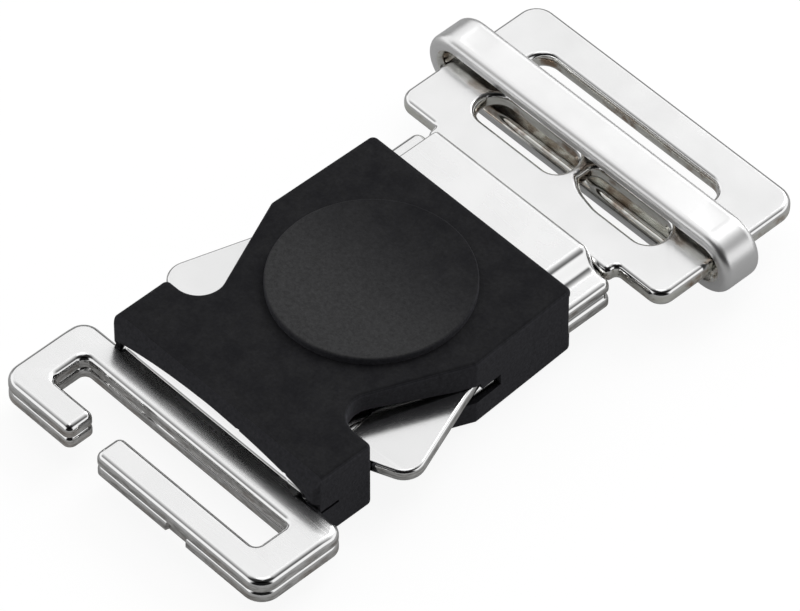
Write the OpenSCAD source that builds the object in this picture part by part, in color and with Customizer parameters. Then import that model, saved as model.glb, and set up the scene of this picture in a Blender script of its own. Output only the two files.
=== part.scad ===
// Side-release strap clip with a moulded cover, lying flat and fastened.
// X runs across the strap, Y along it from the fixed bar to the adjuster, Z up.
// The origin is under the middle of the clip, on the surface that it lies on.

/* [Overall] */
// Length from the fixed bar to the adjuster's far edge
total_len = 62.6; // [61:0.1:66]
// Width of the strap plates
plate_w = 32; // [31:0.1:33]
// Thickness of one pressed steel sheet
sheet_t = 1.2; // [1:0.05:1.25]
// Gap left between neighbouring pieces
clearance = 0.05; // [0.03:0.01:0.06]

/* [Strap bar] */
// Length of the strap plate along Y
bar_plate_len = 9.6; // [9:0.1:9.8]
// Width of the fixed bar in front of the slot
front_bar_w = 2.9; // [2.4:0.1:3.2]
// Width of the webbing slot
bar_slot_w = 3.6; // [3:0.1:3.8]
// Length of the strap bar's webbing slot
bar_slot_len = 25.2; // [22:0.1:26]
// Radius of the strap plate's front corners
bar_corner_r = 1.8; // [1:0.1:2.4]
// Width of the gate that the webbing slips through
gate_w = 3.1; // [2:0.1:4]
// Middle of the gate along X
gate_x = -5.65; // [-8:0.05:-4]

/* [Cover] */
// Height of the moulded cover
cover_h = 7.6; // [7.5:0.1:8]
// Length of the cover
cover_len = 30.45; // [30:0.05:30.6]
// Width of the cover at its rear block
block_w = 25.4; // [25.2:0.1:25.8]
// Width of the cover at its front prongs
prong_w = 25.4; // [25.2:0.1:25.8]
// Wall of the cover at its sides
cover_wall = 0.55; // [0.5:0.05:0.6]
// Thickness of the pad under the clip
pad_t = 2.1; // [2:0.05:2.2]
// Radius of the raised blank disc
disc_r = 9.1; // [8:0.1:9.4]
// Height of the raised blank disc
disc_h = 0.7; // [0.4:0.05:0.9]
// Depth of the bevel along the lip's top edge
lip_bevel = 0.75; // [0.4:0.05:0.8]
// Radius of the round notch on each side
notch_r = 2.35; // [2.1:0.05:2.5]

/* [Levers] */
// Thickness of each side lever
lever_t = 1.3; // [1.1:0.05:1.35]
// Radius of each lever's tip
lever_tip_r = 2; // [1.8:0.05:2.1]
// Turn of the pair of levers to one side, by their play
lever_play = 1.6; // [0:0.1:2]
// Radius of the pin that each lever turns on
pin_r = 1.1; // [0.9:0.05:1.2]

/* [Adjuster] */
// Thickness of the adjuster plate
tongue_t = 1.75; // [1.6:0.05:1.75]
// Radius of the adjuster's far corners
adjuster_corner_r = 2; // [1.2:0.1:2.4]
// Width of the adjuster's webbing slots
adjuster_slot_w = 3.5; // [3:0.1:3.6]
// Length of the adjuster's far slot
adjuster_slot_len = 22.5; // [22:0.1:23]
// Web between the two near slots
slot_web_w = 0.6; // [0.5:0.05:0.9]

/* [Keeper] */
// Width of the keeper loop along Y
keeper_w = 3.9; // [3.4:0.1:4]
// Thickness of the keeper's band
keeper_t = 1.7; // [1.5:0.05:1.75]
// Length of the keeper loop along X
keeper_len = 36.7; // [36.4:0.1:37.2]
// Height of the opening in the keeper
keeper_gap = 2.3; // [2.2:0.05:2.4]

/* [Hidden] */
$fn = 64;
over = 1;
far = 40;

// Stations along Y
y_front = -total_len / 2;
y_far = total_len / 2;
y_slot_near = y_front + front_bar_w;
y_slot_far = y_slot_near + bar_slot_w;
y_plate_rear = y_front + bar_plate_len;
lip_overhang = 0.45;
lip_slope = 1.5;
y_lip = y_plate_rear + 0.1 - lip_overhang;
y_mouth = y_plate_rear + 0.1;
y_cover_rear = y_lip + cover_len;
y_disc = y_lip + 18.5;
y_shell_rear = y_cover_rear + 4.8;

// Heights
z_low = pad_t + clearance;
z_low_top = z_low + sheet_t;
z_up = z_low_top + clearance;
z_up_top = z_up + sheet_t;
z_panel_top = cover_h - 0.7;
z_panel = z_panel_top - sheet_t;
z_flange_top = z_low_top + 1.8;
z_flange = z_flange_top - sheet_t;
z_lever = z_low_top + clearance;
z_rim = z_lever + lever_t + 0.3;
z_tongue = z_low_top + 0.1;
z_keeper = z_tongue + tongue_t + 0.2 - keeper_gap - keeper_t;

// The moulded cover sits pulled slightly to one side at its prongs
prong_x0 = 0.4 - prong_w / 2;
prong_x1 = 0.4 + prong_w / 2;

// Notch in each side of the cover: a round bottom, then a straight flank out to the rear block
notch_x = 10.9;
notch_y = y_disc - 9.75;
flank_x = block_w / 2 - 0.05;
flank_y = y_disc + 0.1;
flank_dx = flank_x - notch_x;
flank_dy = flank_y - notch_y;
flank_turn = atan2(flank_dy, flank_dx) + 90 - asin(notch_r / norm([flank_dx, flank_dy]));
flank_n = [cos(flank_turn), sin(flank_turn)];
flank_t = [sin(flank_turn), -cos(flank_turn)];

// Opening under the lip, an arch that is highest in the middle
mouth_w = 23.4;
mouth_side_z = z_up_top + 0.4;
mouth_mid_z = z_panel_top - 0.4;
arch_rise = mouth_mid_z - mouth_side_z;
arch_r = (mouth_w * mouth_w / 4 + arch_rise * arch_rise) / (2 * arch_rise);

// Slot in the cover's sides that the levers come out through
lever_slot_z = z_low_top - 0.65;
lever_slot_top = z_rim + 0.65;
lever_slot_low = z_lever + lever_t + 0.1;
lever_slot_rear = z_lever + 0.55;
lever_slot_y = [notch_y + 1.3, flank_y - 1.5, flank_y + 0.6, flank_y + 0.8];
lever_slot_end = flank_y + 3.05;
lever_slot_side = 0.35;
nose_slot_d = cover_wall + 0.4;
seam_len = 2.1;
seam_h = 0.3;
seam_d = 0.3;
seam_z = z_low_top;

// Steel shell
ramp_run = 1.3;
ramp_shift = 0.1;
tray_front = y_mouth + ramp_run;
ramp_w = 22.8;
tray_wall = 1.2;
tray_inset = cover_wall + clearance;
tray_shoulder = 0.7;
floor_inset = tray_inset + clearance;
floor_y = y_mouth + 0.15;
flange_y = y_shell_rear - 7;
flange_hw = 12.1;
floor_hw = flange_hw - 0.1;
panel_hw = 9.2;
slope_foot = 0.9;
tunnel_inner_hw = panel_hw - 0.75;
tunnel_inner_foot = tunnel_inner_hw + 0.8;
shell_corner_r = 0.8;
bar_rear_r = 1.6;
bar_notch_x = 6;
bar_notch_w = 2.4;
bar_notch_d = 0.3;

// Lever outline, for the right-hand lever
pivot = [9.4, y_disc + 2.3];
lever_tip = [13.2, y_disc - 9.5];
lever_edge_turn = 16.8;
lever_front_turn = -69;
lever_edge_len = 8.05;
lever_front_len = 5.8;
lever_heel = 2.5;
lever_boss_r = 2.4;
lever_arm_x = 6.85;
lever_arm_w = 1.6;
hook_x = 5.84;
hook_w = 1.5;
hook_y = pivot[1] + 5;
hook_play = 0.2;
hook_gap = 0.3;

// Tongue and adjuster plate
shoulder_y = y_shell_rear + 1.45;
neck_hw = 11.2;
neck_gap = 0.15;
throat_hw = 8;
throat_y = hook_y + 2.5;
head_hw = 6.6;
head_y = pivot[1] + 1.6;
waist_hw = hook_x - hook_gap;
fillet_r = 0.7;
shoulder_r = 1.4;
y_near_slots = shoulder_y + 3.15;
y_far_slot = y_near_slots + adjuster_slot_w + 2.65;
near_row_x0 = -11;
near_row_x1 = 11.65;
slot_web_x = 0.95;
sweep_r = 5.6;
sweep_len = 3.9;

// Keeper
keeper_y = y_near_slots + 2.7 + keeper_w / 2;
keeper_h = keeper_gap + 2 * keeper_t;
dent_w = 2.4;
dent_l = 1.9;
dent_d = 0.12;
dent_x = 14.2;

steel = "silver";
black = [0.07, 0.07, 0.07];

// Rectangle with its four corners rounded: near pair r1, far pair r2
module rounded_rect(x0, y0, x1, y1, r1, r2) {
    translate([x0 + r1, y0]) square([x1 - x0 - 2 * r1, y1 - y0 - r2]);
    translate([x0, y0 + r1]) square([x1 - x0, y1 - y0 - r1 - r2]);
    translate([x0 + r2, y0 + r1]) square([x1 - x0 - 2 * r2, y1 - y0 - r1]);
    for (x = [x0 + r1, x1 - r1])
        translate([x, y0 + r1]) circle(r = r1);
    for (x = [x0 + r2, x1 - r2])
        translate([x, y1 - r2]) circle(r = r2);
}

module mirror_pair() {
    children();
    mirror([1, 0, 0]) children();
}

// Round notch and straight flank, grown by inset so that it cuts a smaller body
module side_notch(inset) {
    r = notch_r + inset;
    foot = [notch_x + r * flank_n[0], notch_y + r * flank_n[1]];
    translate([notch_x, notch_y]) circle(r = r);
    polygon([foot, foot + far * flank_t, [far, notch_y - r], [notch_x, notch_y - r]]);
}

// Plan of the cover, drawn in by inset: front prongs, waist and rear block
module body_plan(inset, front, rear) {
    prong_rear = notch_y - notch_r;
    difference() {
        union() {
            translate([prong_x0 + inset, front])
                square([prong_w - 2 * inset, prong_rear + over - front]);
            translate([-block_w / 2 + inset, prong_rear])
                square([block_w - 2 * inset, rear - prong_rear]);
        }
        mirror_pair() side_notch(inset);
    }
}

module at_height(z0, z1) {
    translate([0, 0, z0]) linear_extrude(z1 - z0) children();
}

// Webbing slot and the gate that opens it to the front
module bar_slot() {
    slot_r = 0.6;
    rounded_rect(-bar_slot_len / 2, y_slot_near, bar_slot_len / 2, y_slot_far, slot_r, slot_r);
    translate([gate_x - gate_w / 2, y_front - over])
        square([gate_w, front_bar_w + over + bar_slot_w / 2]);
}

module bar_plate_plan() {
    difference() {
        rounded_rect(-plate_w / 2, y_front, plate_w / 2, y_plate_rear, bar_corner_r, bar_rear_r);
        bar_slot();
    }
}

module pin_holes(z0, z1) {
    mirror_pair()
        translate([pivot[0], pivot[1], z0])
            cylinder(r = pin_r + clearance, h = z1 - z0);
}

// Side view extruded across the clip, from x0 to x1
module along_x(x0, x1) {
    translate([x0, 0, 0]) rotate([90, 0, 90]) linear_extrude(x1 - x0) children();
}

// Side view of a lever slot, from y_start back: high at the notch, lower beside the block
module slot_side(y_start) {
    polygon([[y_start, lever_slot_z], [lever_slot_end, lever_slot_z],
             [lever_slot_end, lever_slot_rear], [lever_slot_y[3], lever_slot_rear],
             [lever_slot_y[2], lever_slot_low], [lever_slot_y[1], lever_slot_low],
             [lever_slot_y[0], lever_slot_top], [y_start, lever_slot_top]]);
}

// Slot in the cover's right side, carried through the prong's rear wall as far as prong_x
module lever_slot(prong_x) {
    y_start = notch_y - notch_r;
    along_x(notch_x, far) slot_side(y_start);
    along_x(mouth_w / 4, prong_x - lever_slot_side) slot_side(y_start - nose_slot_d);
}

// Moulded sleeve: pad below, side walls, top wall with its blank disc, and an arched lip in front
module cover() {
    color(black)
    difference() {
        union() {
            at_height(0, z_up_top + clearance) body_plan(0, y_mouth, y_cover_rear);
            at_height(z_up_top + clearance, cover_h) body_plan(0, y_lip, y_cover_rear);
            translate([0, y_disc, cover_h - over]) cylinder(r = disc_r, h = disc_h + over, $fn = 128);
        }
        // Room for the steel shell, open to the rear
        at_height(pad_t, z_panel_top + clearance)
            body_plan(cover_wall, y_mouth + 0.1, y_cover_rear + over);
        // Arched mouth in front
        intersection() {
            translate([-mouth_w / 2, y_lip - over, pad_t])
                cube([mouth_w, lip_overhang + 2 * over, mouth_mid_z - pad_t]);
            translate([0, y_lip - 2 * over, mouth_mid_z - arch_r]) rotate([-90, 0, 0])
                cylinder(r = arch_r, h = lip_overhang + 4 * over, $fn = 256);
        }
        lever_slot(prong_x1);
        mirror([1, 0, 0]) lever_slot(-prong_x0);
        // Bevel along the lip's top edge
        along_x(-far, far)
            polygon([[y_lip - over, cover_h + over], [y_lip - over, cover_h - lip_slope * (lip_bevel + over)],
                     [y_lip, cover_h - lip_slope * lip_bevel], [y_lip + lip_bevel, cover_h],
                     [y_lip + lip_bevel, cover_h + over]]);
        // Short parting seam in each prong's side
        for (x = [prong_x0 + seam_d - over, prong_x1 - seam_d])
            translate([x, y_mouth - over, seam_z])
                cube([over, seam_len + over, seam_h]);
    }
}

// Lower sheet: strap plate in front, flat floor of the shell behind
module lower_sheet() {
    color(steel)
    difference() {
        at_height(z_low, z_low_top) difference() {
            union() {
                bar_plate_plan();
                translate([-ramp_w / 2, y_plate_rear - over]) square([ramp_w, 2 * over]);
                body_plan(floor_inset, floor_y, y_cover_rear - over);
                rounded_rect(-floor_hw, y_cover_rear - 2 * over, floor_hw, y_shell_rear,
                             over / 2, shell_corner_r);
            }
            translate([bar_notch_x - bar_notch_w / 2, y_front - over])
                square([bar_notch_w, over + bar_notch_d]);
        }
        pin_holes(z_low - over, z_low_top + over);
    }
}

// Side view of the bend from the strap plate up to the raised panel
module ramp() {
    along_x(-ramp_w / 2, ramp_w / 2)
        polygon([[y_plate_rear - over, z_up], [y_plate_rear + ramp_shift, z_up],
                 [tray_front, z_panel], [tray_front + over, z_panel],
                 [tray_front + over, z_panel_top], [tray_front - ramp_shift, z_panel_top],
                 [y_plate_rear, z_up_top], [y_plate_rear - over, z_up_top]]);
}

// End view of the raised tunnel and its side flanges behind the cover
module tunnel() {
    rotate([90, 0, 0]) translate([0, 0, -y_shell_rear]) linear_extrude(y_shell_rear - flange_y)
        polygon([[-flange_hw, z_flange], [-flange_hw, z_flange_top],
                 [-panel_hw - slope_foot, z_flange_top], [-panel_hw, z_panel_top],
                 [panel_hw, z_panel_top], [panel_hw + slope_foot, z_flange_top],
                 [flange_hw, z_flange_top], [flange_hw, z_flange],
                 [tunnel_inner_foot, z_flange], [tunnel_inner_hw, z_panel],
                 [-tunnel_inner_hw, z_panel], [-tunnel_inner_foot, z_flange]]);
}

// Upper sheet: strap plate, ramp, raised panel with turned-down rim, and rear tunnel
module upper_sheet() {
    color(steel)
    difference() {
        union() {
            at_height(z_up, z_up_top) bar_plate_plan();
            ramp();
            difference() {
                at_height(z_rim, z_panel_top)
                    intersection() {
                        body_plan(tray_inset, tray_front, flange_y + clearance);
                        translate([-ramp_w / 2 - tray_shoulder, tray_front])
                            square([ramp_w + 2 * tray_shoulder, flange_y - tray_front + over]);
                    }
                at_height(z_rim - over, z_panel)
                    body_plan(tray_inset + tray_wall, tray_front - over, flange_y + over);
            }
            tunnel();
        }
        pin_holes(z_rim, z_panel_top + over);
        // Rounded rear corners of the flanges
        mirror_pair()
            translate([flange_hw - shell_corner_r, y_shell_rear - shell_corner_r, z_flange - over])
                difference() {
                    cube([over, over, sheet_t + 2 * over]);
                    cylinder(r = shell_corner_r, h = sheet_t + 2 * over);
                }
    }
}

// Flat lever for the right-hand side: thumb wing, pivot boss, arm and inward hook
module lever() {
    edge = [cos(lever_edge_turn), sin(lever_edge_turn)];
    nose = [cos(lever_front_turn), sin(lever_front_turn)];
    edge_start = lever_tip + lever_tip_r * edge;
    edge_end = edge_start + lever_edge_len * [-edge[1], edge[0]];
    nose_start = lever_tip + lever_tip_r * nose;
    nose_end = nose_start + lever_front_len * [nose[1], -nose[0]];
    color(steel)
    difference() {
        at_height(z_lever, z_lever + lever_t) {
            translate(lever_tip) circle(r = lever_tip_r);
            polygon([lever_tip, edge_start, edge_end, pivot + [0, lever_boss_r],
                     pivot + [-lever_boss_r, 0], nose_end + [0, lever_heel], nose_end, nose_start]);
            translate(pivot) circle(r = lever_boss_r);
            polygon([pivot + [-lever_boss_r, 0], pivot + [0, lever_boss_r],
                     [lever_arm_x + lever_arm_w, hook_y], [lever_arm_x, hook_y]]);
            translate([hook_x, hook_y - hook_w])
                square([lever_arm_x + lever_arm_w - hook_x, hook_w]);
        }
        translate([pivot[0], pivot[1], z_lever - over])
            cylinder(r = pin_r + clearance, h = lever_t + 2 * over);
    }
}

// Lever turned about its pin, out of the cover where turn is positive
module turned_lever(turn) {
    translate(pivot) rotate(turn) translate(-pivot) lever();
}

module lever_right() {
    turned_lever(lever_play);
}

module lever_left() {
    mirror([1, 0, 0]) turned_lever(-lever_play);
}

module pivot_pin(side) {
    color(steel)
        translate([side * pivot[0], pivot[1], z_low])
            cylinder(r = pin_r, h = z_panel_top - z_low);
}

module pivot_pin_left() {
    pivot_pin(-1);
}

module pivot_pin_right() {
    pivot_pin(1);
}

// Long slot with round ends, from x0 to x1, its near side at y0
module long_slot(x0, x1, y0, w) {
    translate([x0 + w / 2, y0]) square([x1 - x0 - w, w]);
    for (x = [x0 + w / 2, x1 - w / 2])
        translate([x, y0 + w / 2]) circle(r = w / 2);
}

// Near slot on the right, whose near corner is a wide sweep
module swept_slot(x0, x1, y0, w) {
    x_mid = x0 + sweep_len;
    translate([x_mid, y0]) square([x1 - x_mid - w / 2, w]);
    translate([x1 - w / 2, y0 + w / 2]) circle(r = w / 2);
    intersection() {
        rounded_rect(x0, y0 - over, x_mid + over, y0 + w, over / 2, fillet_r);
        translate([x_mid, y0 + sweep_r]) circle(r = sweep_r, $fn = 128);
    }
}

// Tongue that locks between the lever hooks, and the slotted adjuster plate that it carries
module tongue_plate() {
    half = adjuster_slot_len / 2;
    color(steel)
    at_height(z_tongue, z_tongue + tongue_t)
        difference() {
            union() {
                rounded_rect(-plate_w / 2, shoulder_y, plate_w / 2, y_far, shoulder_r, adjuster_corner_r);
                translate([-neck_hw, y_shell_rear + neck_gap])
                    square([2 * neck_hw, shoulder_y - y_shell_rear + over]);
                mirror_pair()
                    translate([neck_hw - over / 2, shoulder_y - fillet_r])
                        difference() {
                            square([fillet_r + over / 2, fillet_r + over]);
                            translate([fillet_r + over / 2, 0]) circle(r = fillet_r);
                        }
                translate([-throat_hw, throat_y]) square([2 * throat_hw, shoulder_y - hook_y]);
                translate([-head_hw, head_y]) square([2 * head_hw, hook_y - hook_w - hook_play - head_y]);
                translate([-waist_hw, head_y]) square([2 * waist_hw, shoulder_y - head_y]);
            }
            long_slot(-half, half, y_far_slot, adjuster_slot_w);
            long_slot(near_row_x0, slot_web_x - slot_web_w / 2, y_near_slots, adjuster_slot_w);
            swept_slot(slot_web_x + slot_web_w / 2, near_row_x1, y_near_slots, adjuster_slot_w);
        }
}

// End view of a flat ring with half-round ends
module ring_plan(len, h) {
    translate([-len / 2 + h / 2, -h / 2]) square([len - h, h]);
    for (x = [-1, 1])
        translate([x * (len - h) / 2, 0]) circle(r = h / 2);
}

// Keeper: a flattened ring of steel band round the adjuster plate
module keeper_loop() {
    z_top = z_keeper + keeper_h;
    color(steel)
    difference() {
        translate([0, keeper_y + keeper_w / 2, z_keeper + keeper_h / 2]) rotate([90, 0, 0])
            linear_extrude(keeper_w) difference() {
                ring_plan(keeper_len, keeper_h);
                ring_plan(keeper_len - 2 * keeper_t, keeper_gap);
            }
        // Shallow pressed mark near each end of the top
        mirror_pair()
            translate([dent_x - dent_w / 2, keeper_y - dent_l / 2, z_top - dent_d])
                cube([dent_w, dent_l, over]);
    }
}

cover();
lower_sheet();
upper_sheet();
lever_left();
lever_right();
pivot_pin_left();
pivot_pin_right();
tongue_plate();
keeper_loop();
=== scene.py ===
import math

import bmesh
import bpy
from mathutils import Matrix, Vector


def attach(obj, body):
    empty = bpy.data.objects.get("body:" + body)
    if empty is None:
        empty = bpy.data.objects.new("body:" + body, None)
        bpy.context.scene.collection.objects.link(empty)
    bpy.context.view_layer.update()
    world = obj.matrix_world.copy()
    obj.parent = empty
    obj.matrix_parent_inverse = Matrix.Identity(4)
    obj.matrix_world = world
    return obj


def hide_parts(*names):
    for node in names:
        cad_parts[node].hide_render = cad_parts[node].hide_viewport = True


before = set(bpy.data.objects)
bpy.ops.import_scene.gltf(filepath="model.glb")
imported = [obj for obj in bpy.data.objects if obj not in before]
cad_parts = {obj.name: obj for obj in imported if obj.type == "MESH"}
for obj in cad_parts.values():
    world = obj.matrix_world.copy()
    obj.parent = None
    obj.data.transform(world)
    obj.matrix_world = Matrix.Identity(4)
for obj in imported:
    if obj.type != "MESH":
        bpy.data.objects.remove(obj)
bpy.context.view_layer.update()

MM = 0.001

# Camera, at the photograph's angle: from the front right, 48 degrees above the table and two
# thirds of a metre away through a long lens, so that the clip shows almost no perspective.
view_right = Vector((0.68508, 0.72846, 0.0))
view_back = Vector((0.48301, -0.45424, 0.74857))
view_up = view_back.cross(view_right)
camera_data = bpy.data.cameras.new("camera")
camera_data.sensor_width = 36.0
camera_data.lens = 354.4
camera_data.clip_start = 0.01
camera_data.clip_end = 20.0
camera = bpy.data.objects.new("camera", camera_data)
bpy.context.scene.collection.objects.link(camera)
aim = Vector((0.70, -0.90, 3.31)) * MM
camera_away = 0.6678
turn = Matrix((view_right, view_up, view_back)).transposed().to_4x4()
camera.matrix_world = Matrix.Translation(aim + view_back * camera_away) @ turn
bpy.context.scene.camera = camera


# Studio: a white table under a white tent that is open towards the camera, so that the dark room
# shows in every edge that turns this way, and its rear wall hangs a little clear of the table.
def linear(code, alpha=1.0):
    """An sRGB hex colour as linear red, green, blue and alpha."""
    parts = [int(code[i:i + 2], 16) / 255 for i in (1, 3, 5)]
    return [c / 12.92 if c <= 0.04045 else ((c + 0.055) / 1.055) ** 2.4 for c in parts] + [alpha]


def add_node(tree, kind, settings=None, inputs=None):
    """Adds a node: settings are its attributes, inputs are values or the sockets to link."""
    made = tree.nodes.new(kind)
    for key, value in (settings or {}).items():
        setattr(made, key, value)
    for key, value in (inputs or {}).items():
        socket = made.inputs[key]
        if isinstance(value, bpy.types.NodeSocket):
            tree.links.new(value, socket)
        else:
            socket.default_value = value
    return made


world = bpy.data.worlds.new("light_tent")
bpy.context.scene.world = world
world.use_nodes = True
tent = world.node_tree
tent.nodes.clear()
direction = add_node(tent, "ShaderNodeTexCoord")
part = add_node(tent, "ShaderNodeSeparateXYZ", inputs={0: direction.outputs["Generated"]})
tent_ramp = add_node(tent, "ShaderNodeValToRGB", inputs={0: part.outputs["Z"]})
stops = tent_ramp.color_ramp.elements
for _ in range(2):
    stops.new(0.5)
for stop, (at, shade) in zip(stops, ((0.0, "#f4f4f4"), (0.35, "#ffffff"),
                                     (0.72, "#efefef"), (0.92, "#ffffff"))):
    stop.position = at
    stop.color = linear(shade)
# How far a direction turns towards the open side: 1 is straight out of it, -1 is the rear wall.
open_side = (0.7286, -0.685, 0.0)
to_doorway = add_node(tent, "ShaderNodeVectorMath", {"operation": "DOT_PRODUCT"},
                      {0: direction.outputs["Generated"], 1: open_side})
front_fade = add_node(tent, "ShaderNodeMapRange", {"interpolation_type": "SMOOTHSTEP"}, {
    "Value": to_doorway.outputs["Value"], "From Min": -0.42, "From Max": 0.32,
    "To Min": 1.0, "To Max": 0.03})
# Low white walls stand all round, and the doorway is a gap in them.
low_wall = add_node(tent, "ShaderNodeMapRange", {"interpolation_type": "SMOOTHSTEP"}, {
    "Value": part.outputs["Z"], "From Min": 0.38, "From Max": 0.62, "To Min": 1.0, "To Max": 0.0})
walled = add_node(tent, "ShaderNodeMath", {"operation": "MAXIMUM"},
                  {0: low_wall.outputs[0], 1: front_fade.outputs[0]})
doorway = add_node(tent, "ShaderNodeMapRange", {"interpolation_type": "SMOOTHSTEP"}, {
    "Value": to_doorway.outputs["Value"], "From Min": 0.52, "From Max": 0.76,
    "To Min": 1.0, "To Max": 0.01})
# The gap between the rear wall and the table shows dark, and fades upwards.
near_table = add_node(tent, "ShaderNodeMapRange", {"interpolation_type": "SMOOTHSTEP"}, {
    "Value": part.outputs["Z"], "From Min": 0.10, "From Max": 0.42, "To Min": 1.0, "To Max": 0.0})
at_rear = add_node(tent, "ShaderNodeMapRange", {"interpolation_type": "SMOOTHSTEP"}, {
    "Value": to_doorway.outputs["Value"], "From Min": -0.86, "From Max": -0.62,
    "To Min": 1.0, "To Max": 0.0})
gap = add_node(tent, "ShaderNodeMath", {"operation": "MULTIPLY"},
               {0: near_table.outputs[0], 1: at_rear.outputs[0]})
wall = add_node(tent, "ShaderNodeMath", {"operation": "SUBTRACT"}, {0: 1.0, 1: gap.outputs[0]})
shut_wall = add_node(tent, "ShaderNodeMath", {"operation": "MULTIPLY"},
                     {0: wall.outputs[0], 1: walled.outputs[0]})
open_wall = add_node(tent, "ShaderNodeMath", {"operation": "MULTIPLY"},
                     {0: shut_wall.outputs[0], 1: doorway.outputs[0]})
tent_power = 1.12
strength = add_node(tent, "ShaderNodeMath", {"operation": "MULTIPLY"},
                    {0: open_wall.outputs[0], 1: tent_power})
glow = add_node(tent, "ShaderNodeBackground",
                inputs={"Color": tent_ramp.outputs["Color"], "Strength": strength.outputs[0]})
add_node(tent, "ShaderNodeOutputWorld", inputs={"Surface": glow.outputs[0]})

table_half = 1.5
table_mesh = bpy.data.meshes.new("table")
table_mesh.from_pydata([(-table_half, -table_half, 0), (table_half, -table_half, 0),
                        (table_half, table_half, 0), (-table_half, table_half, 0)], [],
                       [(0, 1, 2, 3)])
table = bpy.data.objects.new("table", table_mesh)
bpy.context.scene.collection.objects.link(table)
table.location.z = -0.02 * MM
# White paper, exposed until it is almost clear of shadow, while the steel still mirrors the
# shadow that the clip throws on it.
paper = bpy.data.materials.new("white_paper")
paper.use_nodes = True
paper_tree = paper.node_tree
paper_tree.nodes.clear()
ray = add_node(paper_tree, "ShaderNodeLightPath")
exposed = add_node(paper_tree, "ShaderNodeBsdfPrincipled", inputs={
    "Base Color": linear("#686868"), "Roughness": 0.9, "Specular IOR Level": 0.0,
    "Emission Color": linear("#ffffff"), "Emission Strength": 0.90})
mirrored = add_node(paper_tree, "ShaderNodeBsdfPrincipled", inputs={
    "Base Color": linear("#8c8c8c"), "Roughness": 0.9, "Specular IOR Level": 0.0,
    "Emission Color": linear("#ffffff"), "Emission Strength": 0.17})
paper_skin = add_node(paper_tree, "ShaderNodeMixShader", inputs={
    0: ray.outputs["Is Camera Ray"], 1: mirrored.outputs[0], 2: exposed.outputs[0]})
add_node(paper_tree, "ShaderNodeOutputMaterial", inputs={"Surface": paper_skin.outputs[0]})
table_mesh.materials.append(paper)

# A soft key light from behind the adjuster and a fill from overhead: place and size are in
# metres, power in watts.
for name, place, size, power in (("key", (-0.08, 0.62, 0.50), 0.36, 1.5),
                                 ("overhead", (0.05, 0.0, 0.8), 0.45, 0.5)):
    lamp = bpy.data.lights.new(name, "AREA")
    lamp.size = size
    lamp.energy = power
    holder = bpy.data.objects.new(name, lamp)
    bpy.context.scene.collection.objects.link(holder)
    holder.location = place
    holder.rotation_euler = (-Vector(place)).to_track_quat("-Z", "Y").to_euler()
bpy.context.scene.view_settings.view_transform = "Standard"


# Lower sheet: 1.2 mm cold-rolled steel, stamped, its edges tumbled round, then polished and
# nickel plated. Its front is the bar that the strap hooks on, and the cover hides its rear.
def rounded_path(corners, step=9.0):
    """A closed path in mm from rows of x, y and corner radius."""
    path = []
    for i, (x, y, r) in enumerate(corners):
        here = Vector((x, y))
        to_last = (Vector(corners[i - 1][:2]) - here).normalized()
        to_next = (Vector(corners[(i + 1) % len(corners)][:2]) - here).normalized()
        half = to_last.angle(to_next) / 2
        if r <= 0 or half > math.radians(89.9):
            path.append(here)
            continue
        middle = here + (to_last + to_next).normalized() * (r / math.sin(half))
        first = here + to_last * (r / math.tan(half)) - middle
        last = here + to_next * (r / math.tan(half)) - middle
        swing = first.angle_signed(last)
        count = max(2, round(abs(math.degrees(swing)) / step))
        for k in range(count + 1):
            spin = Matrix.Rotation(-swing * k / count, 2)
            path.append(middle + spin @ first)
    return path


# Corners of a mesh that are nearer than this, in mm, are one.
weld = 0.0005


def sliced(build, point, normal, clear_outer=False):
    """Cuts a shape's faces along a plane, and drops what is beyond it if clear_outer is set."""
    bmesh.ops.bisect_plane(build, geom=build.verts[:] + build.edges[:] + build.faces[:],
                           dist=0.0001, plane_co=point, plane_no=normal, clear_outer=clear_outer)


def stamped(name, paths, z_low, z_high, edge_in, edge_down, steps=5, square_below=False):
    """A flat plate from closed paths in mm, the first the outline and the rest its holes.

    Its edges are rounded over edge_in across and edge_down in height, the upper ones alone
    where square_below is set."""
    stretch = edge_down / edge_in
    reach = z_high - z_low if square_below else (z_high - z_low) / 2
    curve = bpy.data.curves.new(name, "CURVE")
    curve.dimensions = "2D"
    curve.fill_mode = "BOTH"
    curve.extrude = reach / stretch - edge_in
    curve.bevel_depth = edge_in
    curve.bevel_resolution = steps - 1
    curve.offset = -edge_in
    for path in paths:
        spline = curve.splines.new("POLY")
        spline.points.add(len(path) - 1)
        for point, place in zip(spline.points, path):
            point.co = (place[0], place[1], 0, 1)
        spline.use_cyclic_u = True
    shape = bpy.data.objects.new(name, curve)
    bpy.context.scene.collection.objects.link(shape)
    bpy.context.view_layer.update()
    seen = shape.evaluated_get(bpy.context.evaluated_depsgraph_get())
    mesh = bpy.data.meshes.new_from_object(seen)
    bpy.data.objects.remove(shape)
    mesh.transform(Matrix.Translation((0, 0, z_high - reach)) @ Matrix.Diagonal((1, 1, stretch, 1)))
    build = bmesh.new()
    build.from_mesh(mesh)
    bmesh.ops.remove_doubles(build, verts=build.verts, dist=weld)
    bmesh.ops.dissolve_degenerate(build, edges=build.edges, dist=weld)
    if square_below:
        sliced(build, (0, 0, z_low), (0, 0, -1), clear_outer=True)
        bmesh.ops.holes_fill(build, edges=[e for e in build.edges if e.is_boundary], sides=0)
    bmesh.ops.recalc_face_normals(build, faces=build.faces)
    bpy.data.meshes.remove(mesh)
    return build


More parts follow.
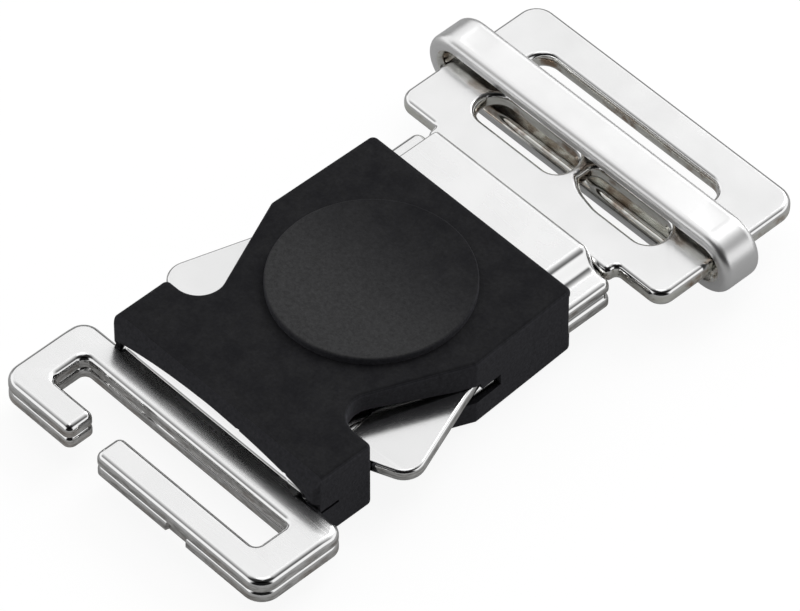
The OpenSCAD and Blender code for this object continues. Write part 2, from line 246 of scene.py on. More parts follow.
def finished(name, build, material, sharp=38.0, sheared=True):
    """Turns a shape in mm into a named object in metres, smooth but for edges over sharp degrees.

    Each face tells the materials how far it turns away from level: as side_wall on every piece,
    and as cut_edge where the piece is sheared from sheet."""
    bmesh.ops.transform(build, matrix=Matrix.Scale(MM, 4), verts=build.verts)
    for face in build.faces:
        face.smooth = True
    for edge in build.edges:
        edge.smooth = len(edge.link_faces) == 2 and edge.calc_face_angle() < math.radians(sharp)
    mesh = bpy.data.meshes.new(name)
    build.to_mesh(mesh)
    build.free()
    mesh.materials.append(material)
    for label, counts in (("cut_edge", sheared), ("side_wall", True)):
        turned = mesh.attributes.new(label, "FLOAT", "FACE")
        for face in mesh.polygons:
            turned.data[face.index].value = 1.0 - abs(face.normal.z) if counts else 0.0
    rough = bpy.data.objects.new(name + "_rough", mesh)
    bpy.context.scene.collection.objects.link(rough)
    weighted = rough.modifiers.new("even_shading", "WEIGHTED_NORMAL")
    weighted.keep_sharp = True
    weighted.weight = 90
    bpy.context.view_layer.update()
    seen = rough.evaluated_get(bpy.context.evaluated_depsgraph_get())
    smooth_mesh = bpy.data.meshes.new_from_object(seen)
    smooth_mesh.name = name
    piece = bpy.data.objects.new(name, smooth_mesh)
    bpy.context.scene.collection.objects.link(piece)
    bpy.data.objects.remove(rough)
    bpy.data.meshes.remove(mesh)
    return piece


def plated_steel(name, colour, smudge, seed, tarnish, walls=("#a3a29f", "#e6e5e3")):
    """Nickel plate: satin on the flats, with rubbing marks and smudges, and bright at its edges.

    colour and walls are the two shades that each varies between, smudge is the flats' least and
    most roughness, seed moves the patterns, and tarnish is how brown the patches get."""
    made = bpy.data.materials.new(name)
    made.use_nodes = True
    tree = made.node_tree
    tree.nodes.clear()
    place = add_node(tree, "ShaderNodeTexCoord")
    in_mm = add_node(tree, "ShaderNodeMapping", {"vector_type": "POINT"},
                     {"Vector": place.outputs["Object"], "Location": (seed, seed * 2.0, 0.0),
                      "Scale": (1000, 1000, 1000)})
    # Finger smudges about 5 mm across.
    cloud = add_node(tree, "ShaderNodeTexNoise", inputs={
        "Vector": in_mm.outputs[0], "Scale": 0.2, "Detail": 4.0, "Roughness": 0.6})
    # Rubbing scratches 0.06 mm wide and some 5 mm long, drawn a little coarser than real.
    rubbed = add_node(tree, "ShaderNodeMapping", {"vector_type": "POINT"}, {
        "Vector": in_mm.outputs[0], "Rotation": (0.0, 0.0, 0.9), "Scale": (0.18, 7.0, 1.0)})
    scratch = add_node(tree, "ShaderNodeTexNoise", inputs={
        "Vector": rubbed.outputs[0], "Scale": 1.0, "Detail": 2.0, "Roughness": 0.5})
    scratch_line = add_node(tree, "ShaderNodeMapRange", inputs={
        "Value": scratch.outputs["Fac"], "From Min": 0.60, "From Max": 0.72})
    # The pressed sheet keeps a faint waviness of about 1.5 mm under its plating.
    wave = add_node(tree, "ShaderNodeTexNoise", inputs={
        "Vector": in_mm.outputs[0], "Scale": 0.65, "Detail": 1.0, "Roughness": 0.4})
    rough_cloud = add_node(tree, "ShaderNodeMapRange", inputs={
        "Value": cloud.outputs["Fac"], "From Min": 0.3, "From Max": 0.7,
        "To Min": smudge[0], "To Max": smudge[1]})
    rough_sum = add_node(tree, "ShaderNodeMath", {"operation": "MULTIPLY_ADD"}, {
        0: scratch_line.outputs[0], 1: 0.03, 2: rough_cloud.outputs[0]})
    tint = add_node(tree, "ShaderNodeMix", {"data_type": "RGBA"}, {
        "Factor": cloud.outputs["Fac"], 6: linear(colour[0]), 7: linear(colour[1])})
    # Tumbling polishes the rounded edges, and the sheared walls keep streaks along their length.
    turned_away = add_node(tree, "ShaderNodeAttribute", {"attribute_name": "cut_edge"})
    sheared_wall = add_node(tree, "ShaderNodeMapRange", inputs={
        "Value": turned_away.outputs["Fac"], "From Min": 0.55, "From Max": 0.85})
    on_flat = add_node(tree, "ShaderNodeMapRange", inputs={
        "Value": turned_away.outputs["Fac"], "From Min": 0.0, "From Max": 0.06,
        "To Min": 1.0, "To Max": 0.0})
    streaks = add_node(tree, "ShaderNodeMapping", {"vector_type": "POINT"}, {
        "Vector": in_mm.outputs[0], "Scale": (0.8, 0.8, 4.0)})
    streak = add_node(tree, "ShaderNodeTexNoise", inputs={
        "Vector": streaks.outputs[0], "Scale": 1.0, "Detail": 3.0, "Roughness": 0.6})
    streak_tone = add_node(tree, "ShaderNodeMapRange", inputs={
        "Value": streak.outputs["Fac"], "From Min": 0.35, "From Max": 0.65})
    edge_tint = add_node(tree, "ShaderNodeMix", {"data_type": "RGBA"}, {
        "Factor": streak_tone.outputs[0], 6: linear(walls[0]), 7: linear(walls[1])})
    # Brown tarnish in patches about 3 mm long on those walls, where the plating is thinnest.
    patch = add_node(tree, "ShaderNodeTexNoise", inputs={
        "Vector": in_mm.outputs[0], "Scale": 0.33, "Detail": 4.0, "Roughness": 0.65})
    patch_mask = add_node(tree, "ShaderNodeMapRange", inputs={
        "Value": patch.outputs["Fac"], "From Min": 0.50, "From Max": 0.62,
        "To Min": 0.0, "To Max": tarnish})
    wall_tint = add_node(tree, "ShaderNodeMix", {"data_type": "RGBA"}, {
        "Factor": patch_mask.outputs[0], 6: edge_tint.outputs[2], 7: linear("#8a6a4c")})
    body_tint = add_node(tree, "ShaderNodeMix", {"data_type": "RGBA"}, {
        "Factor": sheared_wall.outputs[0], 6: tint.outputs[2], 7: wall_tint.outputs[2]})
    rough_edge = add_node(tree, "ShaderNodeMix", {"data_type": "FLOAT"}, {
        "Factor": on_flat.outputs[0], 2: 0.09, 3: rough_sum.outputs[0]})
    relief = add_node(tree, "ShaderNodeMath", {"operation": "MULTIPLY_ADD"}, {
        0: scratch_line.outputs[0], 1: -0.05, 2: wave.outputs["Fac"]})
    bump = add_node(tree, "ShaderNodeBump", inputs={
        "Height": relief.outputs[0], "Strength": 0.18, "Distance": 0.00002})
    skin = add_node(tree, "ShaderNodeBsdfPrincipled", inputs={
        "Base Color": body_tint.outputs[2], "Metallic": 1.0,
        "Roughness": rough_edge.outputs["Result"], "Normal": bump.outputs[0]})
    add_node(tree, "ShaderNodeOutputMaterial", inputs={"Surface": skin.outputs[0]})
    return made


# Polished nickel plate on pressed steel: a soft bright mirror, hazed a little by handling.
nickel = plated_steel("polished_nickel_plate", ("#e6e6e6", "#ededed"),
                      smudge=(0.24, 0.30), seed=3.0, tarnish=0.25)

bar_front, bar_rear, bar_left, bar_right = -31.42, -21.7, -16.0, 16.42
slot_near, slot_far, slot_half = -28.4, -24.8, 12.6
gate_left, gate_right = -7.2, -4.1
prong_left, prong_right, notch_front, shell_rear = 12.3, 13.1, -15.65, 13.2


def shell_side(inset, side, rear, rear_corner):
    """The shell's waist on one side, from the prong back to the rear, drawn in by inset."""
    prong, flange = (prong_right, 12.1) if side > 0 else (prong_left, 12.5)
    prong_front, notch_r, block = -21.45, 2.35, 12.7
    # The straight part of the notch's front side leaves less room the more it is drawn in.
    corner = min(0.55, 1.38 - inset)
    # Columns: x, y and corner radius. The third row is where the notch's straight front side and
    # its slanted flank would meet, and the fourth is the flank's rear end. Both slide with inset.
    right_rows = [
        (prong - inset, prong_front, 0.3),
        (prong - inset, notch_front - inset, corner),
        (7.295 - 1.531 * inset, notch_front - inset, notch_r + inset),
        (block - inset, -3.336 + 0.211 * inset, corner),
        (min(block - inset, flange), rear, rear_corner)]
    rows = [(side * x, y, r) for x, y, r in right_rows]
    return rows if side > 0 else rows[::-1]


# The strap bar from its rear left corner, round the open slot, to its rear right corner.
bar_rows = [(bar_left, bar_rear, 1.6), (bar_left, bar_front, 1.8),
            (gate_left, bar_front, 0.74), (gate_left, slot_near, 0.74),
            (-slot_half, slot_near, 0.75), (-slot_half, slot_far, 0.75),
            (slot_half, slot_far, 0.6), (slot_half, slot_near, 0.6),
            (gate_right, slot_near, 0.74), (gate_right, bar_front, 0.74),
            (bar_right, bar_front, 1.9), (bar_right, bar_rear, 1.6)]
neck_half, shell_inset, shell_corner = 11.4, 0.65, 0.8
lower_path = rounded_path(
    bar_rows + [(neck_half, bar_rear, 0.0)]
    + shell_side(shell_inset, 1, shell_rear, shell_corner)
    + shell_side(shell_inset, -1, shell_rear, shell_corner)
    + [(-neck_half, bar_rear, 0.0)])
# The punch draws the upper edge of each sheet down over most of its thickness.
punched_in, punched_down, punched_steps = 0.72, 0.82, 9
lower_under, lower_top = 2.15, 3.35
lower_build = stamped("lower_sheet", [lower_path], lower_under, lower_top,
                      punched_in, punched_down, punched_steps, square_below=True)
# A shallow nick in the front edge, right of the gate.
nick_from, nick_to, nick_deep, nick_slope = 4.8, 7.2, 0.35, 0.05
for edge_x in (nick_from - nick_slope, nick_from + nick_slope,
               nick_to - nick_slope, nick_to + nick_slope):
    sliced(lower_build, (edge_x, 0, 0), (1, 0, 0))
for vert in lower_build.verts:
    if nick_from < vert.co.x < nick_to and vert.co.y < bar_front + nick_deep:
        vert.co.y = bar_front + nick_deep
lower_sheet = finished("strap_bar_lower_sheet", lower_build, nickel)
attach(lower_sheet, "housing")
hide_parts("lower_sheet")

# Upper sheet: the same steel, bent up from the strap bar into a raised panel under the cover,
# with a turned-down rim, and drawn into a shallow tunnel with two flanges behind the cover.
upper_under, upper_top = 3.40, 4.60
bar_rise, flange_rise = 2.3, 0.55
ramp_start, ramp_end = -21.85, -20.0
dip_start, dip_run, dip_depth = -24.6, 2.75, 0.21
tunnel_start, tunnel_step = -2.6, 0.5
bow_start, bow_run, tunnel_bow = 10.0, 2.0, 0.22
right_bend, left_bend = (8.25, 10.45), (9.45, 10.65)
bend_cuts = 12

upper_path = rounded_path(
    bar_rows + [(neck_half, bar_rear, 0.0), (neck_half, ramp_end, 0.0)]
    + [(12.1, ramp_end, 0.3)] + shell_side(shell_inset, 1, shell_rear, shell_corner)[1:]
    + shell_side(shell_inset, -1, shell_rear, shell_corner)[:-1] + [(-11.6, ramp_end, 0.3)]
    + [(-neck_half, ramp_end, 0.0), (-neck_half, bar_rear, 0.0)])
sheet = stamped("upper_sheet", [upper_path], upper_under, upper_top,
                punched_in, punched_down, punched_steps, square_below=True)
ramp_cuts = [ramp_start + (ramp_end - ramp_start) * k / bend_cuts for k in range(bend_cuts + 1)]
dip_cuts = [dip_start, -24.2, -23.8, -23.3, -22.8, -22.3]
for y in ramp_cuts + [tunnel_start, tunnel_start + tunnel_step] + dip_cuts:
    sliced(sheet, (0, y, 0), (0, 1, 0))
for k in range(bend_cuts + 1):
    for side, (start, end) in ((1, right_bend), (-1, left_bend)):
        sliced(sheet, (side * (start + (end - start) * k / bend_cuts), 0, 0), (1, 0, 0))
sliced(sheet, (0, bow_start, 0), (0, 1, 0))


def eased(t, round_off):
    """A straight rise from 0 to 1 whose two ends are rounded off."""
    t = min(max(t, 0.0), 1.0)
    slope = 1 / (1 - round_off)
    if t < round_off:
        return slope * t * t / (2 * round_off)
    if t > 1 - round_off:
        return 1 - slope * (1 - t) ** 2 / (2 * round_off)
    return slope * (t - round_off / 2)


for vert in sheet.verts:
    x, y = vert.co.x, vert.co.y
    climb = bar_rise * eased((y - ramp_start) / (ramp_end - ramp_start), 0.16)
    # The bend drew the strip in front of it down a little on its upper side.
    drawn_down = (vert.co.z - upper_under) / (upper_top - upper_under)
    climb -= dip_depth * eased((y - dip_start) / dip_run, 0.3) * drawn_down
    if y > tunnel_start + tunnel_step / 2:
        start, end = right_bend if x > 0 else left_bend
        drop = eased((abs(x) - start) / (end - start), 0.5)
        climb += (flange_rise - bar_rise) * drop
        vert.co.y += tunnel_bow * (1 - drop) * min(max((y - bow_start) / bow_run, 0.0), 1.0)
    vert.co.z += climb
# The turned-down rim stands under the panel's edge, 0.5 mm thick.
rim_paths = []
for inset, front, left, right, corner, rear in ((0.62, -20.1, -11.5, 12.0, 0.3, 6.0),
                                                (1.12, -19.6, -11.0, 11.5, 0.2, 5.5)):
    rim_paths.append(rounded_path(
        [(left, front, corner), (right, front, corner)]
        + shell_side(inset, 1, rear, 0.3)[1:] + shell_side(inset, -1, rear, 0.3)[:-1]))
rim = stamped("rim", rim_paths, z_low=5.0, z_high=6.3, edge_in=0.18, edge_down=0.18)
rim_mesh = bpy.data.meshes.new("rim")
rim.to_mesh(rim_mesh)
rim.free()
sheet.from_mesh(rim_mesh)
bpy.data.meshes.remove(rim_mesh)
upper_sheet = finished("bent_upper_sheet", sheet, nickel, sharp=50.0)
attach(upper_sheet, "housing")
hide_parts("upper_sheet")

# Squeeze levers: two flat steel stampings with rounded thumb tips. Each turns on a pin inside
# the shell, and its hidden hook holds the tongue until both tips are pressed in.

# Nickel plate that thumbs keep bright: the clearest mirror on the clip.
lever_steel = plated_steel("nickel_plated_lever", ("#e3e3e3", "#ededed"),
                           smudge=(0.15, 0.20), seed=11.0, tarnish=0.2)
pivot, pin_hole_r = Vector((9.4, -1.25)), 1.15
lever_play = math.radians(1.6)
lever_under, lever_top = 3.40, 4.70
pin_hole = [pivot + Matrix.Rotation(math.tau * k / 32, 2) @ Vector((pin_hole_r, 0))
            for k in range(32)]
for name, side, body, tip in (("lever_right", 1, "right_lever", (16.03, -14.11, 2.0)),
                              ("lever_left", -1, "left_lever", (15.78, -13.4, 2.0))):
    # From the hook at the rear down the inner side to the rounded tip, and up the outer side.
    wing = rounded_path([(8.45, 3.75, 0.2), (5.84, 3.75, 0.2), (5.84, 2.25, 0.2),
                         (6.95, 2.25, 0.3), (6.95, -1.2, 1.5), (8.5, -14.5, 0.6),
                         (8.5, -16.99, 0.4), tip, (12.79, -4.76, 0.6), (11.75, -1.2, 2.4),
                         (9.6, 1.3, 1.5)])
    play = Matrix.Rotation(side * lever_play, 2)
    turned = [[pivot + play @ (p - pivot) for p in path] for path in (wing, pin_hole)]
    paths = [[Vector((side * p.x, p.y)) for p in path] for path in turned]
    lever = finished("squeeze_" + name,
                     stamped(name, paths, lever_under, lever_top, edge_in=0.38, edge_down=0.42),
                     lever_steel)
    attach(lever, body)
    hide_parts(name)

# Pivot pins: plain steel rods under the cover, one through each lever and both sheets, whose
# holes hold them. They don't show, so they stay the solids of the CAD, in the levers' plating.
for name in ("pivot_pin_left", "pivot_pin_right"):
    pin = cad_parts[name]
    pin.data.materials.clear()
    pin.data.materials.append(lever_steel)

# Tongue and adjuster: one 1.75 mm steel stamping. Its hidden tongue locks in the shell, and its
# wide end carries the loose strap through a far slot and a near slot that a thin web divides.

# Nickel plate that the strap has rubbed, with brown stains on the slots' sheared walls.
adjuster_steel = plated_steel("nickel_plated_adjuster", ("#e6e6e6", "#efefef"),
                              smudge=(0.18, 0.26), seed=23.0, tarnish=0.8,
                              walls=("#dcdbd4", "#f0f0ea"))
plate_under, plate_top = 3.45, 5.20
plate_left, plate_right, plate_near, plate_far = -16.0, 16.5, 14.5, 31.3
step_half, stem_half, waist_half, hook_half = 11.2, 8.0, 5.55, 6.6
step_front, stem_front, hook_rear, tongue_front = 13.35, 6.25, 2.05, 0.35
# Columns: half width, y and corner radius, from the tongue's front to the plate's near edge.
tongue_rows = [(hook_half, tongue_front, 0.7), (hook_half, hook_rear, 0.7),
               (waist_half, hook_rear, 0.2), (waist_half, stem_front, 0.2),
               (stem_half, stem_front, 0.7), (stem_half, step_front, 0.2),
               (step_half, step_front, 0.7), (step_half, plate_near, 0.4)]
plate_path = rounded_path(
    [(plate_left, plate_near, 1.4)] + [(-x, y, r) for x, y, r in tongue_rows[::-1]] + tongue_rows
    + [(plate_right, plate_near, 1.5), (plate_right, plate_far, 2.1), (plate_left, plate_far, 2.0)])
far_half, far_near, far_far, slot_r = 11.25, 23.95, 27.45, 1.7
far_slot = rounded_path([(-far_half, far_near, slot_r), (far_half, far_near, slot_r),
                         (far_half, far_far, slot_r), (-far_half, far_far, slot_r)])
near_start, near_end = 17.8, 21.3
slot_left, web_left, web_right, slot_right = -10.6, 0.38, 1.55, 11.65
near_left = rounded_path([(slot_left, near_start, slot_r), (web_left, near_start, 1.55),
                          (web_left, near_end, 1.55), (slot_left, near_end, slot_r)])
# The right half narrows towards the web.
near_right = rounded_path([(web_right, 19.3, 0.3), (2.8, 18.35, 4.0), (5.2, near_start, 4.0),
                           (slot_right, near_start, slot_r), (slot_right, near_end, slot_r),
                           (web_right, near_end, 0.8)])
tongue = finished("adjuster_and_tongue",
                  stamped("tongue_plate", [plate_path, far_slot, near_left, near_right],
                          plate_under, plate_top, edge_in=0.57, edge_down=0.68, steps=8),
                  adjuster_steel)
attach(tongue, "housing")
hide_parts("tongue_plate")

# Keeper: a ring of 1.7 mm steel band, bent round the adjuster with half-round ends and polished.
# It slides along the plate to hold the strap's tail, and has a pressed mark near each end.

# Nickel plate, satin all over from sliding, and inside the ring stained brown where sweat dries.
keeper_steel = plated_steel("nickel_plated_keeper", ("#e6e6e6", "#efefef"),
                            smudge=(0.30, 0.38), seed=31.0, tarnish=0.0)
keeper_inside = plated_steel("tarnished_keeper_inside", ("#c9c9c4", "#e0e0dc"),
                             smudge=(0.42, 0.5), seed=37.0, tarnish=0.65,
                             walls=("#e4e4de", "#f4f4f0"))
ring_x, ring_y, ring_z = -0.07, 22.53, 4.3
keeper_tree = bpy.data.node_groups.new("bent_band", "GeometryNodeTree")
keeper_tree.interface.new_socket("Geometry", in_out="OUTPUT", socket_type="NodeSocketGeometry")
band_sizes = {"Ring length": 37.25, "Ring height": 6.5, "Band thickness": 1.7, "Band width": 4.1,
              "Edge radius": 0.74}
for label in band_sizes:
    keeper_tree.interface.new_socket(label, in_out="INPUT", socket_type="NodeSocketFloat")
given = add_node(keeper_tree, "NodeGroupInput")
path_width = add_node(keeper_tree, "ShaderNodeMath", {"operation": "SUBTRACT"}, {
    0: given.outputs["Ring length"], 1: given.outputs["Band thickness"]})
path_height = add_node(keeper_tree, "ShaderNodeMath", {"operation": "SUBTRACT"}, {
    0: given.outputs["Ring height"], 1: given.outputs["Band thickness"]})
# The ends are half round but for a hair, because a fillet can't use the whole height.
end_radius = add_node(keeper_tree, "ShaderNodeMath", {"operation": "MULTIPLY"}, {
    0: path_height.outputs[0], 1: 0.499})
box_path = add_node(keeper_tree, "GeometryNodeCurvePrimitiveQuadrilateral", inputs={
    "Width": path_width.outputs[0], "Height": path_height.outputs[0]})
ring_path = add_node(keeper_tree, "GeometryNodeFilletCurve", {"mode": "POLY"}, {
    "Curve": box_path.outputs[0], "Count": 14, "Radius": end_radius.outputs[0]})
profile_box = add_node(keeper_tree, "GeometryNodeCurvePrimitiveQuadrilateral", inputs={
    "Width": given.outputs["Band thickness"], "Height": given.outputs["Band width"]})
profile = add_node(keeper_tree, "GeometryNodeFilletCurve", {"mode": "POLY"}, {
    "Curve": profile_box.outputs[0], "Count": 8, "Radius": given.outputs["Edge radius"]})
band = add_node(keeper_tree, "GeometryNodeCurveToMesh", inputs={
    "Curve": ring_path.outputs[0], "Profile Curve": profile.outputs[0]})
stood = add_node(keeper_tree, "GeometryNodeTransform", inputs={
    "Geometry": band.outputs[0], "Rotation": (math.pi / 2, 0.0, 0.0),
    "Translation": (ring_x, ring_y, ring_z)})
whole = add_node(keeper_tree, "GeometryNodeRealizeInstances", inputs={0: stood.outputs[0]})
coated = add_node(keeper_tree, "GeometryNodeSetMaterial", inputs={
    "Geometry": whole.outputs[0], "Material": keeper_steel})
add_node(keeper_tree, "NodeGroupOutput", inputs={0: coated.outputs[0]})
seed_mesh = bpy.data.meshes.new("keeper_seed")
bender = bpy.data.objects.new("keeper_seed", seed_mesh)
bpy.context.scene.collection.objects.link(bender)
bend = bender.modifiers.new("bent_band", "NODES")
bend.node_group = keeper_tree
for socket in keeper_tree.interface.items_tree:
    if socket.in_out == "INPUT":
        bend[socket.identifier] = band_sizes[socket.name]
bpy.context.view_layer.update()
bent = bpy.data.meshes.new_from_object(bender.evaluated_get(bpy.context.evaluated_depsgraph_get()))
bender.modifiers.clear()
bpy.data.objects.remove(bender)
ring = bmesh.new()
ring.from_mesh(bent)
bpy.data.meshes.remove(bent)
bmesh.ops.remove_doubles(ring, verts=ring.verts, dist=weld)
bmesh.ops.recalc_face_normals(ring, faces=ring.faces)
# The pressed marks: each is a flat floor whose sides slope over the cuts round it.
dent_places = (-14.2, 14.2)
dent_half_x, dent_half_y, dent_depth = 1.2, 0.95, 0.09
dent_edges = (-1.3, -0.8, 0.8, 1.3)
for dent_x in dent_places:
    for edge in dent_edges:
        sliced(ring, (dent_x + edge * dent_half_x, 0, 0), (1, 0, 0))
for edge in dent_edges:
    sliced(ring, (0, ring_y + edge * dent_half_y, 0), (0, 1, 0))
ring_top = ring_z + band_sizes["Ring height"] / 2
for vert in ring.verts:
    in_x = min(abs(vert.co.x - dent_x) for dent_x in dent_places) < dent_half_x
    if vert.co.z > ring_top - 0.1 and in_x and abs(vert.co.y - ring_y) < dent_half_y:
        vert.co.z -= dent_depth
keeper = finished("bent_band_keeper", ring, keeper_steel, sharp=60.0, sheared=False)
keeper.data.materials.append(keeper_inside)
# The ends bend round lines at end_centre on either side, and a face nearer than inside_reach to
# them, or to the level between them, is inside. It counts as a sheared wall, which shows stains.
end_centre, inside_reach = 15.35, 2.05
for face in keeper.data.polygons:
    from_axis = Vector((max(abs(face.center.x / MM - ring_x) - end_centre, 0.0),
                        face.center.z / MM - ring_z))
    if from_axis.length < inside_reach:
        face.material_index = 1
        keeper.data.attributes["cut_edge"].data[face.index].value = 1.0
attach(keeper, "keeper")
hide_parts("keeper_loop")

# Cover: a sleeve moulded in black rubber and pushed over the shell. Its lip arches over the bent
# sheet, a bevel runs along the lip, both sides are slotted for the levers, and its disc is blank.
cover_top, pad_top, room_top = 7.6, 2.1, 6.95
lip_front, mouth_front, cover_rear = -22.05, -21.6, 8.4
top_round, cover_corner, wall_thick = 0.5, 0.62, 0.55


def cover_plan(inset, front, rear, corner):
    """The cover's outline, drawn in by inset, from its front to its rear."""
    return rounded_path([(inset - prong_left, front, corner), (prong_right - inset, front, corner)]
                        + shell_side(inset, 1, rear, corner)[1:]
                        + shell_side(inset, -1, rear, corner)[:-1], step=6.0)


def solid(name, build):
    """A shape in mm as an object that a boolean can use."""
    mesh = bpy.data.meshes.new(name)
    build.to_mesh(mesh)
    build.free()
    made = bpy.data.objects.new(name, mesh)
    bpy.context.scene.collection.objects.link(made)
    return made


def prism(name, outline, low, high, along):
    """An outline in mm carried straight along x or y, from low to high."""
    build = bmesh.new()
    ends = []
    for place in (low, high):
        ring_verts = [build.verts.new((place, a, b) if along == "x" else (a, place, b))
                      for a, b in outline]
        ends.append(ring_verts)
        build.faces.new(ring_verts)
    count = len(outline)
    for i in range(count):
        after = (i + 1) % count
        build.faces.new((ends[0][i], ends[0][after], ends[1][after], ends[1][i]))
    bmesh.ops.recalc_face_normals(build, faces=build.faces)
    return solid(name, build)


sleeve_plan = cover_plan(0, lip_front, cover_rear, cover_corner)
sleeve = solid("sleeve", stamped("sleeve", [sleeve_plan], 0.0, cover_top, top_round, top_round))
room_plan = cover_plan(wall_thick, mouth_front + 0.1, cover_rear + 2, 0.3)
cutters = [solid("room", stamped("room", [room_plan], pad_top, room_top,
                                 edge_in=0.05, edge_down=0.05, steps=1))]
# Side views in y and z, carried right across: the space under the lip, and the lip's bevel.
beyond, under_lip = 20, 4.65
cutters.append(prism("under_lip", [(-30, -1), (mouth_front, -1), (mouth_front, under_lip),
                                   (-30, under_lip)], -beyond, beyond, "x"))
cutters.append(prism("lip_bevel", [(-23.05, 9), (-23.05, 4.94), (lip_front, 6.475),
                                   (-21.3, cover_top), (-20.3667, 9)], -beyond, beyond, "x"))
# The mouth that the bar comes out of: a front view in x and z, arched above.
mouth_half, mouth_low, arch_top, arch_rise, arch_steps = 11.7, 2.2, 6.5, 1.5, 20
arch_r = (mouth_half ** 2 + arch_rise ** 2) / (2 * arch_rise)
arch = [(x, arch_top - arch_r + math.sqrt(arch_r ** 2 - x ** 2))
        for x in (mouth_half * k / arch_steps for k in range(arch_steps, -arch_steps - 1, -1))]
cutters.append(prism("mouth", [(-mouth_half, mouth_low), (mouth_half, mouth_low)] + arch,
                     -24, -21.2, "y"))
# The lever slots, high at the notch and lower beside the block. Columns: name, from x, to x, front.
slot_low, slot_rear = 2.7, -0.4
for name, low, high, start in (
        ("room_right", 10.9, beyond, notch_front), ("room_left", -beyond, -10.9, notch_front),
        ("nose_right", 5.85, 12.75, -16.6), ("nose_left", -11.95, -5.85, -16.6)):
    cutters.append(prism(name, [
        (start, slot_low), (slot_rear, slot_low), (slot_rear, 3.95), (-2.65, 3.95),
        (-2.85, 4.8), (-4.95, 4.8), (-12.0, 5.65), (start, 5.65)], low, high, "x"))
# Two worn nicks in the lip, and the mould's parting line on each prong.
for name, nick_x, nick_z in (("nick_left", 3.5, 6.5), ("nick_right", 9.2, 5.75)):
    cutters.append(prism(name, [
        (nick_x - 0.3, 5.0), (nick_x + 0.25, 5.0), (nick_x + 0.15, nick_z),
        (nick_x - 0.2, nick_z - 0.05)], -24, -21.7, "y"))
seam_low, seam_high, seam_rear = 3.35, 3.65, -19.5
for name, low, high in (("seam_right", 12.8, 14), ("seam_left", -13.5, -12.0)):
    cutters.append(prism(name, [(-23, seam_low), (seam_rear, seam_low), (seam_rear, seam_high),
                                (-23, seam_high)], low, high, "x"))
for cutter in cutters:
    cut = sleeve.modifiers.new(cutter.name, "BOOLEAN")
    cut.operation = "DIFFERENCE"
    cut.solver = "MANIFOLD"
    cut.object = cutter

disc_r, disc_round, disc_y, disc_top, disc_sides = 9.1, 0.22, -3.55, 8.3, 128
disc = bmesh.new()
rim_rows = [(disc_r, cover_top - 0.3), (disc_r, disc_top - disc_round)]
rim_rows += [(disc_r - disc_round * (1 - math.cos(a)), disc_top - disc_round * (1 - math.sin(a)))
             for a in (math.pi * k / 10 for k in range(1, 6))]
disc_turns = [math.tau * k / disc_sides for k in range(disc_sides)]
disc_rings = [[disc.verts.new((r * math.cos(a), disc_y + r * math.sin(a), z)) for a in disc_turns]
              for r, z in rim_rows]
for lower, upper in zip(disc_rings, disc_rings[1:]):
    for k in range(disc_sides):
        after = (k + 1) % disc_sides
        disc.faces.new((lower[k], lower[after], upper[after], upper[k]))
disc.faces.new(disc_rings[0][::-1])
disc.faces.new(disc_rings[-1])
bmesh.ops.recalc_face_normals(disc, faces=disc.faces)
disc_solid = solid("disc", disc)
raise_disc = sleeve.modifiers.new("disc", "BOOLEAN")
raise_disc.operation = "UNION"
raise_disc.solver = "MANIFOLD"
raise_disc.object = disc_solid
soften = sleeve.modifiers.new("soft_edges", "BEVEL")
soften.width = 0.14
soften.segments = 2
soften.limit_method = "ANGLE"
soften.angle_limit = math.radians(34)
bpy.context.view_layer.update()
seen_sleeve = sleeve.evaluated_get(bpy.context.evaluated_depsgraph_get())
cut_mesh = bpy.data.meshes.new_from_object(seen_sleeve)
for used in cutters + [disc_solid, sleeve]:
    bpy.data.objects.remove(used)

# Moulded rubber: near black with a violet cast, matt, with a fine spark-eroded grain.
rubber = bpy.data.materials.new("matt_moulded_rubber")
rubber.use_nodes = True
rubber_tree = rubber.node_tree
rubber_tree.nodes.clear()
rubber_place = add_node(rubber_tree, "ShaderNodeTexCoord")
rubber_mm = add_node(rubber_tree, "ShaderNodeMapping", {"vector_type": "POINT"}, {
    "Vector": rubber_place.outputs["Object"], "Scale": (1000, 1000, 1000)})
# The grain is about 0.3 mm across, drawn coarser than real.
grain = add_node(rubber_tree, "ShaderNodeTexNoise", inputs={
    "Vector": rubber_mm.outputs[0], "Scale": 3.2, "Detail": 4.0, "Roughness": 0.7})
# Handling leaves cloudy patches about 2 mm across.
bloom = add_node(rubber_tree, "ShaderNodeTexNoise", inputs={
    "Vector": rubber_mm.outputs[0], "Scale": 0.45, "Detail": 6.0, "Roughness": 0.72})
bloom_spread = add_node(rubber_tree, "ShaderNodeMapRange", inputs={
    "Value": bloom.outputs["Fac"], "From Min": 0.36, "From Max": 0.64})
bloom_tint = add_node(rubber_tree, "ShaderNodeMix", {"data_type": "RGBA"}, {
    "Factor": bloom_spread.outputs[0], 6: linear("#151519"), 7: linear("#222224")})
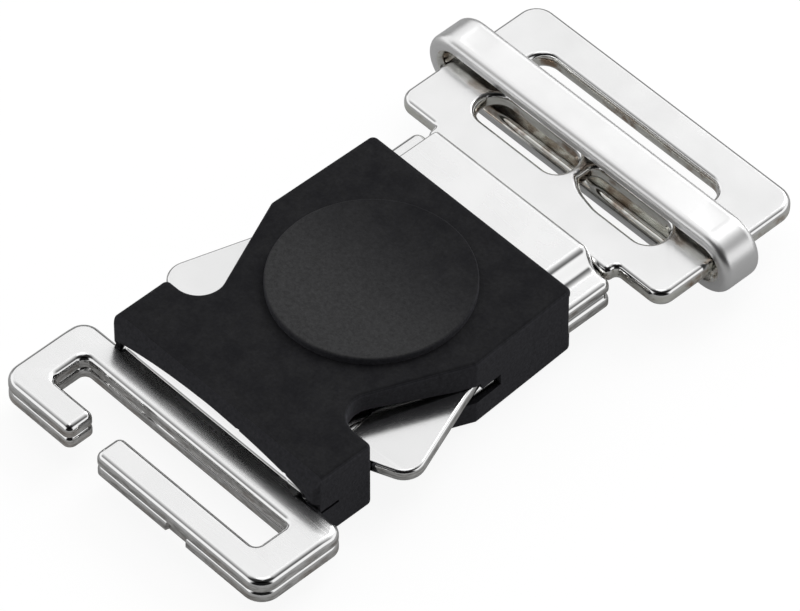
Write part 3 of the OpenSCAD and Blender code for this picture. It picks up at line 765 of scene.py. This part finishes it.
# Painted sheen with grey bloom: the disc's face is painted lighter grey, fading out towards the
# adjuster.
rubber_part = add_node(rubber_tree, "ShaderNodeSeparateXYZ", inputs={0: rubber_mm.outputs[0]})
on_disc = add_node(rubber_tree, "ShaderNodeMapRange", inputs={
    "Value": rubber_part.outputs["Z"], "From Min": 8.1, "From Max": 8.28})
near_bar = add_node(rubber_tree, "ShaderNodeMapRange", {"interpolation_type": "SMOOTHSTEP"}, {
    "Value": rubber_part.outputs["Y"], "From Min": -9.0, "From Max": 5.0,
    "To Min": 1.0, "To Max": 0.0})
disc_bloom_and_sheen = add_node(rubber_tree, "ShaderNodeMath", {"operation": "MULTIPLY"},
                      {0: on_disc.outputs[0], 1: near_bar.outputs[0]})
disc_tint = add_node(rubber_tree, "ShaderNodeMix", {"data_type": "RGBA"}, {
    "Factor": disc_bloom_and_sheen.outputs[0], 6: bloom_tint.outputs[2], 7: linear("#3a3a3b")})
# Painted light: the sides and bevels are painted a little greyer than the top, standing in for
# light from the front.
side_wall = add_node(rubber_tree, "ShaderNodeAttribute", {"attribute_name": "side_wall"})
on_side = add_node(rubber_tree, "ShaderNodeMapRange", inputs={
    "Value": side_wall.outputs["Fac"], "From Min": 0.15, "From Max": 0.5})
side_painted_light = add_node(rubber_tree, "ShaderNodeMix", {"data_type": "RGBA"}, {
    "Factor": on_side.outputs[0], 6: disc_tint.outputs[2], 7: linear("#3a3a3e")})
grain_tint = add_node(
    rubber_tree, "ShaderNodeMix", {"data_type": "RGBA", "blend_type": "OVERLAY"},
    {"Factor": 0.7, 6: side_painted_light.outputs[2], 7: grain.outputs["Fac"]})
grain_bump = add_node(rubber_tree, "ShaderNodeBump", inputs={
    "Height": grain.outputs["Fac"], "Strength": 0.9, "Distance": 0.00005})
rubber_skin = add_node(rubber_tree, "ShaderNodeBsdfPrincipled", inputs={
    "Base Color": grain_tint.outputs[2], "Roughness": 0.7, "Specular IOR Level": 0.12,
    "Normal": grain_bump.outputs[0]})
add_node(rubber_tree, "ShaderNodeOutputMaterial", inputs={"Surface": rubber_skin.outputs[0]})

shell = bmesh.new()
shell.from_mesh(cut_mesh)
bpy.data.meshes.remove(cut_mesh)
cover = finished("moulded_cover", shell, rubber, sharp=40.0, sheared=False)
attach(cover, "housing")
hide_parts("cover")
